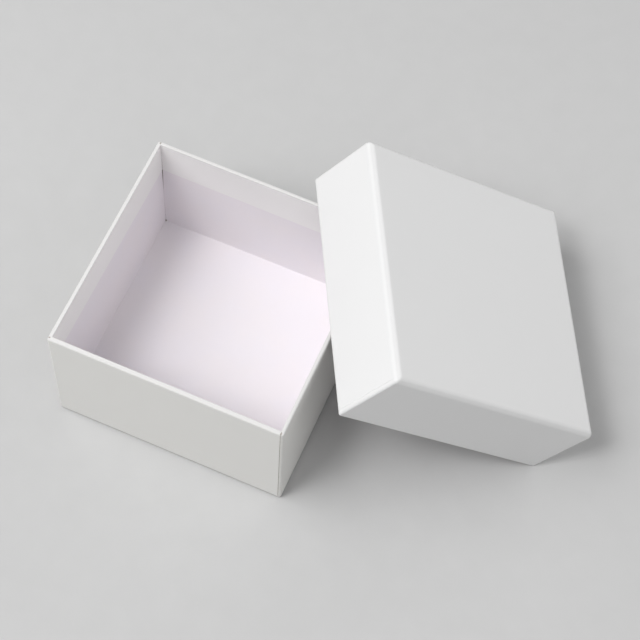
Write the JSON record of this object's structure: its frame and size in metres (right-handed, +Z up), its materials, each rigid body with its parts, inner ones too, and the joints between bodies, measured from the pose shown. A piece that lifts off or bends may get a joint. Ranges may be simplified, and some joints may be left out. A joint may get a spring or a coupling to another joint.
{
  "type": "jewelry gift box",
  "caption": "Square rigid gift box of paper-wrapped greyboard, standing open, with its deep lift-off lid leaning on the rim of the base.",
  "frame": {"origin": "middle of the base's underside, on the surface that the box stands on", "axes": "+Z up, +X to the right along the base's front, towards the side where the lid leans, +Y to the back"},
  "size_m": [0.1769, 0.1351, 0.0772],
  "materials": {
    "wrap_paper": "matt, uncoated",
    "lining_paper": "matt",
    "greyboard": "matt, raw",
    "stay_tape": "matt"
  },
  "bodies": {
    "base": {"base_board": "greyboard", "base_lining": "lining_paper", "base_wrap": "wrap_paper", "base_corner_tape_front_left": "stay_tape", "base_corner_tape_front_right": "stay_tape", "base_corner_tape_back_left": "stay_tape", "base_corner_tape_back_right": "stay_tape"},
    "lid": {"lid_board": "greyboard", "lid_lining": "lining_paper", "lid_wrap": "wrap_paper", "lid_corner_tape_front_left": "stay_tape", "lid_corner_tape_front_right": "stay_tape", "lid_corner_tape_back_left": "stay_tape", "lid_corner_tape_back_right": "stay_tape"}
  },
  "joints": [
    {"name": "lid_lift", "type": "slide", "parent": "base", "child": "lid", "axis": [0, 0, 1], "range_m": [0, 0.12]}
  ]
}
